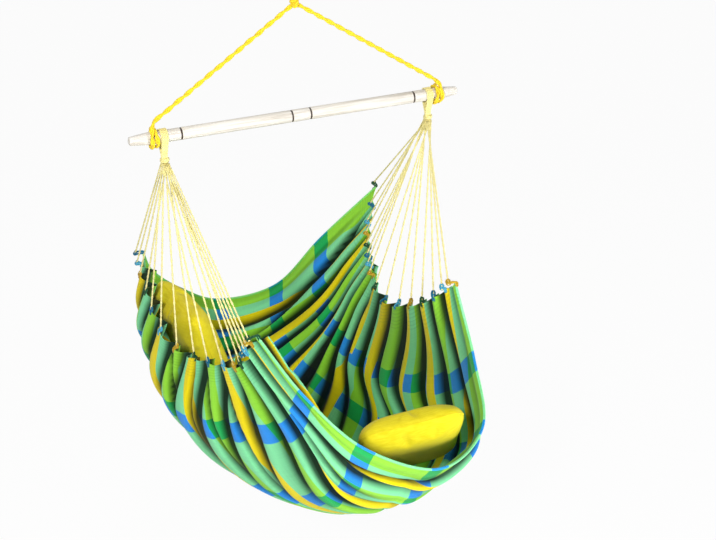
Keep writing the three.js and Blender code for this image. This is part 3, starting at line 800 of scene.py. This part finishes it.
# Each header loop is a bundle of the cloth's own warp ends, bent over the string's foot
LOOP_COLORS = (
    ("teal", (30, 150, 190), (4, 60, 90)),
    ("pine", (30, 110, 60), (4, 40, 24)),
    ("gold", (232, 200, 50), (150, 110, 10)),
    ("aqua", (110, 215, 235), (30, 120, 170)),
)
LOOP_COLOR_STEP = 7  # jumbles the colours along a header
LOOP_INNER_COLUMNS = 6
LOOP_ROOT = 0.014  # how far inside the cloth's edge a loop starts
LOOP_ROOT_HALF_WIDTH = 0.002
LOOP_EDGE_HALF_WIDTH = 0.0034
# Above the string's foot: how far up the string, to each side and across the loop lies
LOOP_BEND = ((0.008, 0.0050, 0), (0.015, 0.0044, 0.001), (0.019, 0.0012, 0.001))
LOOP_STEPS = 22
LOOP_YARN_RADIUS = 0.0024
LOOP_YARN_OFFSET = 0.0016
LOOP_YARN_PITCH = 0.011
WRAP_TURNS = 2
WRAP_STEPS = 33
WRAP_START = 0.002
WRAP_HEIGHT = 0.0044
WRAP_HALF_THICKNESS = 0.0050
WRAP_HALF_WIDTH = 0.0058
WRAP_YARN_RADIUS = 0.0021
NUDGE = 1e-4  # keeps the two directions of a cross product apart


def add_header_loops(grid):
    for color_index, (color_name, light, dark) in enumerate(LOOP_COLORS):
        material = cord_material(f"loop_cotton_{color_name}", light, dark, plies=2, pitch=0.006)
        for side, side_name in SIDES:
            shape = Shape()
            for i in range(LOOPS):
                if (i * LOOP_COLOR_STEP + (side > 0)) % len(LOOP_COLORS) != color_index:
                    continue
                upper, lower = string_ends(f"string_{side_name}_{i + 1:02d}")
                row = i * ROWS_PER_FLUTE
                edge = grid[row, 0 if side < 0 else -1]
                inner = grid[row, LOOP_INNER_COLUMNS if side < 0 else -1 - LOOP_INNER_COLUMNS]
                pull = unit(upper - lower)
                inward = unit(inner - edge)
                across = unit(np.cross(pull, grid[min(row + 2, ROWS - 1), 0] - edge + NUDGE))
                facing = unit(np.cross(pull, across))
                root = edge + inward * LOOP_ROOT
                for leg in (-1, 1):
                    bend = [
                        root + leg * LOOP_ROOT_HALF_WIDTH * facing,
                        edge + leg * LOOP_EDGE_HALF_WIDTH * facing,
                    ]
                    for up, aside, over in LOOP_BEND:
                        bend.append(lower + pull * up + leg * aside * facing + over * across)
                    line = smooth_line(bend, LOOP_STEPS)
                    yarn = LOOP_YARN_OFFSET, LOOP_YARN_RADIUS, LOOP_YARN_PITCH
                    shape.add_twist(line, *yarn, sides=6, phase=i + leg)
                shares = np.linspace(0, 1, WRAP_STEPS)
                angles = 2 * np.pi * WRAP_TURNS * shares
                wrap = (
                    lower + pull * (WRAP_START + WRAP_HEIGHT * shares)[:, None]
                    + WRAP_HALF_THICKNESS * np.cos(angles)[:, None] * across
                    + WRAP_HALF_WIDTH * np.sin(angles)[:, None] * facing
                )
                shape.add_tube(wrap, WRAP_YARN_RADIUS, sides=6)
            shape.make(f"header_loops_{side_name}_{color_name}", material, "seat", "seat_fabric")


# Bar, harness and small rope parts
BAR_END_RADIUS = 0.0135
BAR_END_ROUNDING = 0.006
BAR_TAPER = 0.057
TAPER_SHARES = (0.35, 0.7, 0.93)
RING_PLACES = (0.39, 0.031)  # the burnt rings, on each side of the bar's middle
# Across a ring: how far off its middle, and how deep
RING_PROFILE = ((0.0037, 0), (0.0025, 0.0007), (0, 0.0008), (-0.0025, 0.0007), (-0.0037, 0))
RING_HALF_WIDTH = 0.0029
RING_WOBBLE = 0.0016
BAR_SIDES = 48


def add_bar():
    half = BAR_LENGTH / 2
    profile = [(0.0, half)]
    for angle in np.linspace(0, math.pi / 2, 6):
        radius = BAR_END_RADIUS - BAR_END_ROUNDING + BAR_END_ROUNDING * math.sin(angle)
        profile.append((radius, half - BAR_END_ROUNDING + BAR_END_ROUNDING * math.cos(angle)))
    taper_start = half - BAR_TAPER
    for share in TAPER_SHARES:
        x = half - BAR_END_ROUNDING - share * (half - BAR_END_ROUNDING - taper_start)
        profile.append((BAR_END_RADIUS + share * (BAR_RADIUS - BAR_END_RADIUS), x))
    profile.append((BAR_RADIUS, taper_start - BAR_END_ROUNDING))
    for centre in RING_PLACES:
        for offset, depth in RING_PROFILE:
            profile.append((BAR_RADIUS - depth, centre + offset))
    profile += [(radius, -x) for radius, x in reversed(profile)]
    profile = np.array(profile)
    centres = np.stack([profile[:, 1], np.zeros(len(profile)), np.full(len(profile), BAR_Z)], axis=1)
    shape = Shape()
    angles = 2 * np.pi * np.arange(BAR_SIDES) / BAR_SIDES
    ring = np.stack([np.zeros(BAR_SIDES), np.cos(angles), np.sin(angles)], axis=1)
    grid = centres[:, None, :] + profile[:, 0][:, None, None] * ring[None, :, :]
    shape.add_grid(grid, ring_uv(BAR_SIDES, profile[:, 1]), closed=True)
    piece = shape.make("bar_turned", birch_material(), "bar", "birch")
    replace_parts(piece, "spreader_bar")


def birch_material():
    graph = Graph("birch_turned", roughness=0.5, specular=0.35, coat=0.1)
    vector = graph.place()
    grain = graph.noise(graph.stretched(vector, (3, 90, 90)), scale=2.0, detail=4.0)
    figure = graph.noise(graph.stretched(vector, (5, 14, 14)), scale=1.5, detail=3.0)
    wood = graph.ramp(grain, [
        (0.25, linear(188, 180, 168)), (0.5, linear(222, 217, 208)), (0.75, linear(240, 238, 232)),
    ])
    toned = graph.mix(graph.math("MULTIPLY", figure, 0.35), wood, linear(214, 202, 182))
    off_middle = graph.math("ABSOLUTE", graph.axis(vector, 0))
    wobble = graph.math("MULTIPLY", graph.math("SUBTRACT", grain, 0.5), RING_WOBBLE)
    rings = []
    for centre in RING_PLACES:
        off = graph.math("ABSOLUTE", graph.math("SUBTRACT", graph.math("ADD", off_middle, wobble), centre))
        rings.append(graph.math("LESS_THAN", off, RING_HALF_WIDTH))
    burnt = graph.math("MAXIMUM", *rings)
    color = graph.mix(burnt, toned, linear(58, 46, 38))
    return graph.finish(color, grain, distance=0.0006, strength=0.3)


def bight_line(radius, neck_drop, half_neck, lean_degrees, count):
    """A rope bight in its own plane: round the top, leaning runs and two upright feet."""
    lean = math.radians(lean_degrees)
    foot_bend = radius / 2
    foot_bend_x = half_neck + foot_bend * (1 - math.cos(lean))
    run = (radius * math.cos(lean) - foot_bend_x) / math.sin(lean)
    foot_bend_z = -radius * math.sin(lean) - run * math.cos(lean)
    foot_z = foot_bend_z - foot_bend * math.sin(lean)
    half = [(half_neck, -neck_drop), (half_neck, (foot_z - neck_drop) / 2), (half_neck, foot_z)]
    for angle in np.linspace(0, lean, 5)[1:]:
        half.append((
            half_neck + foot_bend * (1 - math.cos(angle)),
            foot_z + foot_bend * math.sin(angle),
        ))
    for angle in np.linspace(-lean, math.pi / 2, 12):
        half.append((radius * math.cos(angle), radius * math.sin(angle)))
    line = np.array(half + [(-x, z) for x, z in reversed(half[:-1])])
    upright = np.stack([line[:, 0], np.zeros(len(line)), line[:, 1]], axis=1)
    return smooth_line(upright, count)


GATHER_TWINE_RADIUS = 0.0018
NECK_TWINE_RADIUS = 0.0016
STEPS_PER_TURN = 24  # of a whipping's twine
HARNESS_CORDS = 5
HARNESS_STEPS = 90
HARNESS_PITCH = 0.0048
HARNESS_CORD_RADIUS = 0.0024
HARNESS_HALF_NECK = 0.0033
HARNESS_LEAN = 20  # degrees by which the band's runs lean in to the gather
HARNESS_NARROWING = 0.25  # how much narrower the band gets, and how far down
HARNESS_NARROWING_DROP = 0.07
HARNESS_WANDER = 0.0006
HARNESS_WANDER_RATE = 60
HARNESS_WANDER_STEP = 2.1  # between one cord's wander and the next


def add_harness():
    loop_radius = BAR_RADIUS + 2 * GAP + HARNESS_CORD_RADIUS
    for side, side_name in SIDES:
        shape = Shape()
        for k in range(HARNESS_CORDS):
            off = (k - (HARNESS_CORDS - 1) / 2) * HARNESS_PITCH
            line = bight_line(loop_radius, BAR_Z - GATHER_Z, HARNESS_HALF_NECK, HARNESS_LEAN, HARNESS_STEPS)
            line = np.stack([line[:, 1], line[:, 0], line[:, 2]], axis=1)
            narrowing = 1 - HARNESS_NARROWING * np.clip(-line[:, 2] / HARNESS_NARROWING_DROP, 0, 1)
            line[:, 0] = side * HARNESS_X + off * narrowing
            line[:, 2] += BAR_Z
            wave = HARNESS_WANDER_RATE * run_length(line) + HARNESS_WANDER_STEP * k
            line[:, 1] += HARNESS_WANDER * np.sin(wave)
            shape.add_tube(line, HARNESS_CORD_RADIUS)
        piece = shape.make(f"harness_band_{side_name}", string_material, "seat", "string")
        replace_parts(piece, f"harness_eye_{side_name}")
        node = f"gather_whipping_{side_name}"
        add_whipping(f"gather_wrap_{side_name}", node, "seat", GATHER_TWINE_RADIUS, string_material)


def add_whipping(name, node, body, twine_radius, material):
    """Twine wound in close turns round an upright neck, over a core, in its node's box."""
    low, high = np.array(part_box(node))
    middle = (low + high) / 2
    radius = (high[0] - low[0]) / 2 - twine_radius
    height = high[2] - low[2]
    turns = int(height / (2 * twine_radius)) - 1
    angles = np.linspace(0, 2 * np.pi * turns, STEPS_PER_TURN * turns)
    top = height / 2 - twine_radius
    line = np.stack([
        radius * np.cos(angles),
        radius * np.sin(angles),
        np.linspace(-top, top, len(angles)),
    ], axis=1) + middle
    shape = Shape()
    shape.add_tube(line, twine_radius, sides=6)
    core = middle + np.array([0, 0, 1]) * np.linspace(-top, top, 6)[:, None]
    shape.add_tube(core, radius, sides=16)
    piece = shape.make(name, material, body, "twine")
    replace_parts(piece, node)


EYE_LEAN = 35  # degrees by which the eye's runs lean in to its neck
EYE_PITCH = 0.04
EYE_STEPS = 140
KNOT_STEPS = 120
KNOT_HALF_WIDTH = 0.00341
KNOT_HALF_HEIGHT = 0.0085
KNOT_STRAND_RADIUS = 0.0037
KNOT_STRAND_OFFSET = 0.003
KNOT_PITCH = 0.03
KNOT_STEM = (-0.004, 0.0175)  # from and to, above the knot's middle
KNOT_STEM_RADIUS = 0.0078


def add_suspension():
    low, high = np.array(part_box("suspension_eye"))
    eye_radius = (high[0] - low[0]) / 2 - ROPE_RADIUS
    centre_z = high[2] - ROPE_RADIUS - eye_radius
    line = bight_line(eye_radius, centre_z - low[2], ROPE_RADIUS + GAP / 2, EYE_LEAN, EYE_STEPS)
    line[:, 2] += centre_z
    shape = Shape()
    shape.add_twist(line, STRAND_OFFSET, STRAND_RADIUS, EYE_PITCH)
    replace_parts(shape.make("rope_eye", rope_material, "hook_eye", "rope"), "suspension_eye")
    add_whipping("neck_wrap", "neck_whipping", "neck", NECK_TWINE_RADIUS, twine_material)
    angles = np.linspace(0, 2 * np.pi, KNOT_STEPS)
    knot = np.stack([
        KNOT_HALF_WIDTH * (np.sin(angles) + 2 * np.sin(2 * angles)),
        KNOT_HALF_WIDTH * (np.cos(angles) - 2 * np.cos(2 * angles)),
        -KNOT_HALF_HEIGHT * np.sin(3 * angles),
    ], axis=1)
    shape = Shape()
    shape.add_twist(knot + KNOT, KNOT_STRAND_OFFSET, KNOT_STRAND_RADIUS, KNOT_PITCH)
    stem = KNOT + np.array([0, 0, 1]) * np.linspace(*KNOT_STEM, 8)[:, None]
    shape.add_tube(stem, KNOT_STEM_RADIUS, sides=12)
    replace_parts(shape.make("rope_knot", rope_material, "knot", "rope"), "apex_knot")


# Cushions: which way each is turned, in degrees about X, Y and Z
CUSHION_TURNS = {"front_cushion": (-44, -8, -14), "back_cushion": (70.5, -7, 93.5)}
CUSHION_SIDE = 0.38
CUSHION_THICKNESS = 0.13
DRAWN_IN = 0.05
CORNER_ROUNDING = 0.14
SWELLING = 0.008  # room left around the start form, and the cap on its swelling
CUSHION_VOXEL = 0.005
CORNER_POWER = 6
CROWN_POWER = 0.6
STUFFING_PRESSURE = 4
STUFFING_STIFFNESS = 12
STUFFING_BEND = 0.3
STUFFING_STEPS = 20
PUCKERS = 13
FINE_PUCKERS = 21
FINE_PUCKER_SHARE = 0.7
FINE_PUCKER_TURN = 2.3  # how far a cushion's own phase turns the fine puckers
PUCKER_HEIGHT = 0.0028
PUCKER_PLACE = 0.14  # how far in from the seam, as a share of half a side
PUCKER_WIDTH = 0.09
CUSHION_STATIONS = 73
SEAM_STEPS = 241
SEAM_RADIUS = 0.0016
CANVAS_PICK_PITCH = 0.0014


def cushion_turn(turns):
    x, y, z = (math.radians(angle) for angle in turns)
    return Matrix.Rotation(z, 3, "Z") @ Matrix.Rotation(y, 3, "Y") @ Matrix.Rotation(x, 3, "X")


def cushion_material(name, turns, centre):
    """Plain canvas, whose weave lies along the cushion's own sides."""
    graph = Graph(f"{name}_canvas", roughness=0.85, specular=0.15, sheen=0.1)
    rotation = [math.radians(angle) for angle in turns]
    own = graph.node("ShaderNodeMapping", graph.place(), centre, rotation, vector_type="TEXTURE")
    rib = graph.wave(graph.axis(own, 0), RIB_PITCH)
    pick = graph.wave(graph.axis(own, 1), CANVAS_PICK_PITCH)
    slubs = graph.noise(graph.stretched(own, (40, 500, 40)), scale=1.0, detail=1.0)
    broad = graph.noise(own, scale=9.0, detail=2.0)
    shade = graph.ramp(slubs, [(0.3, linear(226, 204, 20)), (0.7, linear(238, 220, 44))])
    color = graph.mix(graph.math("MULTIPLY", broad, 0.25), shade, linear(232, 220, 30))
    height = graph.math("ADD", graph.math("ADD", rib, pick), slubs)
    return graph.finish(color, height, distance=0.0004, strength=0.3)


def cushion_outline(s, t, side):
    """Where a share of each half side lands, with the sides drawn in between the corners."""
    rounded = 1 - CORNER_ROUNDING * (s * t) ** CORNER_POWER
    return [
        along * (1 - DRAWN_IN * (1 - across * across) * np.abs(along)) * rounded * side / 2
        for along, across in ((s, t), (t, s))
    ]


def puff_up(piece):
    """Swell a closed form as stuffed cloth, with no point moving farther than the cap."""
    scene = bpy.context.scene
    remesh = piece.modifiers.new("remesh", "REMESH")
    remesh.mode = "VOXEL"
    remesh.voxel_size = CUSHION_VOXEL
    piece.data = evaluated_mesh(piece)
    piece.modifiers.clear()
    start = mesh_points(piece.data)
    cloth = piece.modifiers.new("stuffing", "CLOTH")
    cloth.settings.quality = 6
    cloth.settings.use_pressure = True
    cloth.settings.uniform_pressure_force = STUFFING_PRESSURE
    cloth.settings.tension_stiffness = STUFFING_STIFFNESS
    cloth.settings.compression_stiffness = STUFFING_STIFFNESS
    cloth.settings.bending_stiffness = STUFFING_BEND
    cloth.settings.effector_weights.gravity = 0
    for step in range(1, STUFFING_STEPS + 1):
        scene.frame_set(step)
    swollen = mesh_points(evaluated_mesh(piece))
    piece.modifiers.clear()
    scene.frame_set(1)
    moved = swollen - start
    far = np.linalg.norm(moved, axis=1, keepdims=True)
    points = start + moved * np.minimum(1, SWELLING / np.maximum(far, LEAST_LENGTH))
    piece.data.vertices.foreach_set("co", points.astype(np.float32).ravel())
    piece.data.update()


def evaluated_mesh(piece):
    depsgraph = bpy.context.evaluated_depsgraph_get()
    depsgraph.update()
    return bpy.data.meshes.new_from_object(piece.evaluated_get(depsgraph))


def mesh_points(mesh):
    points = np.empty(3 * len(mesh.vertices), dtype=np.float32)
    mesh.vertices.foreach_get("co", points)
    return points.reshape(-1, 3).astype(float)


def cushion_form(wrinkle_phase):
    """The start form: crowned on both faces, with puckers that run in from the seam."""
    stations = np.sin(np.pi / 2 * np.linspace(-1, 1, CUSHION_STATIONS))
    s, t = np.meshgrid(stations, stations)
    x, y = cushion_outline(s, t, CUSHION_SIDE - 2 * SWELLING)
    crown = ((1 - s**4) * (1 - t**4)) ** CROWN_POWER
    edge = np.minimum(1 - np.abs(s), 1 - np.abs(t))
    turned = np.arctan2(t, s)
    shape = Shape()
    for sign in (1, -1):
        fine = np.sin(FINE_PUCKERS * turned + FINE_PUCKER_TURN * wrinkle_phase)
        pucker = np.sin(PUCKERS * turned + wrinkle_phase + sign) + FINE_PUCKER_SHARE * fine
        pucker = pucker * PUCKER_HEIGHT * np.exp(-(((edge - PUCKER_PLACE) / PUCKER_WIDTH) ** 2))
        z = sign * (crown * (CUSHION_THICKNESS / 2 - SWELLING) - pucker * crown)
        grid = np.stack([x, y, z], axis=-1)[:, ::sign]
        uv = np.stack([x, y], axis=-1)[:, ::sign]
        shape.add_grid(grid, uv)
    return shape


def add_cushion(name, wrinkle_phase):
    turns = CUSHION_TURNS[name]
    low, high = np.array(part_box(f"{name}_cover"))
    centre = (low + high) / 2
    place = Matrix.Translation(Vector(centre)) @ cushion_turn(turns).to_4x4()
    material = cushion_material(name, turns, centre)
    piece = cushion_form(wrinkle_phase).make(f"{name}_stuffed", material, name, "cushion_fabric")
    puff_up(piece)
    piece.data.polygons.foreach_set("use_smooth", np.ones(len(piece.data.polygons), dtype=bool))
    if not piece.data.materials:
        piece.data.materials.append(material)
    around = np.linspace(0, 2 * np.pi, SEAM_STEPS)
    reach = np.maximum(np.abs(np.cos(around)), np.abs(np.sin(around)))
    x, y = cushion_outline(np.cos(around) / reach, np.sin(around) / reach, CUSHION_SIDE)
    seam_line = []
    for point in zip(x, y, np.zeros(len(x))):
        found, nearest, _, _ = piece.closest_point_on_mesh(Vector(point))
        seam_line.append(place @ (nearest if found else Vector(point)))
    piece.data.transform(place)
    smooth = piece.modifiers.new("subdivision", "SUBSURF")
    smooth.levels = smooth.render_levels = 1
    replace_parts(piece, f"{name}_cover", f"{name}_inner_bag", f"{name}_zipper")
    seam = Shape()
    seam.add_tube(np.array(seam_line), SEAM_RADIUS, sides=6)
    seam.make(f"{name}_seam", material, name, "cushion_fabric")


# Floor and light: white to the camera, and plain pale surfaces to the light
FLOOR_DROP = 0.25
FLOOR_REACH = 40
FLOOR_COLOR = (0.88, 0.88, 0.88, 1)
WHITE_SHARE = 0.95
LIGHT_AIM = (0, 0, -0.7)  # from the bar's middle
WORLD_STRENGTH = 0.3
LAMPS = (
    ("key", (-2.7, -3.5, 1.25), 0.8, 158),
    ("fill", (1.6, -4.0, -1.2), 1.4, 115),
    ("top", (0.5, 0.8, 2.6), 1.5, 25),
)


def white_to_camera(tree):
    """A node output that is 1 where a camera, glossy or clear ray looks, and 0 for other light."""
    rays = tree.nodes.new("ShaderNodeLightPath").outputs
    total = rays["Is Camera Ray"]
    for name in ("Is Glossy Ray", "Is Transmission Ray"):
        total = add_node(tree, "ShaderNodeMath", total, rays[name], operation="MAXIMUM")
    return total


def add_floor():
    mesh = bpy.data.meshes.new("floor")
    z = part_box("seat_cloth")[0][2] - FLOOR_DROP
    corners = [(x * FLOOR_REACH, y * FLOOR_REACH, z) for x, y in ((-1, -1), (1, -1), (1, 1), (-1, 1))]
    mesh.from_pydata(corners, [], [(0, 1, 2, 3)])
    floor = add_object("floor", mesh)
    graph = Graph("floor_white", roughness=0.9, specular=0.5)
    graph.shader.inputs["Base Color"].default_value = FLOOR_COLOR
    share = graph.math("MULTIPLY", white_to_camera(graph.tree), WHITE_SHARE)
    glow = graph.node("ShaderNodeEmission")
    mixed = graph.node("ShaderNodeMixShader", share, graph.shader.outputs[0], glow)
    graph.tree.links.new(mixed, graph.tree.nodes["Material Output"].inputs[0])
    mesh.materials.append(graph.material)


def add_light():
    world = bpy.data.worlds.new("studio")
    bpy.context.scene.world = world
    world.use_nodes = True
    tree = world.node_tree
    background = tree.nodes["Background"]
    background.inputs["Color"].default_value = (1, 1, 1, 1)
    strength = add_node(tree, "ShaderNodeMapRange", white_to_camera(tree), 0.0, 1.0, WORLD_STRENGTH, 1.0)
    tree.links.new(strength, background.inputs["Strength"])
    aim = Vector(LIGHT_AIM) + Vector((0, 0, BAR_Z))
    for name, place, size, power in LAMPS:
        data = bpy.data.lights.new(name, "AREA")
        data.shape = "DISK"
        data.size = size
        data.energy = power
        lamp = add_object(name, data)
        lamp.location = place
        lamp.rotation_euler = (aim - Vector(place)).to_track_quat("-Z", "Y").to_euler()
    bpy.context.scene.view_settings.view_transform = "Standard"


add_camera()
add_sling()
add_strings()
add_suspension()
add_harness()
add_bar()
cloth = add_cloth()
add_header_loops(cloth)
add_cushion("front_cushion", 0.4)
add_cushion("back_cushion", 2.1)
add_floor()
add_light()

bpy.context.view_layer.update()
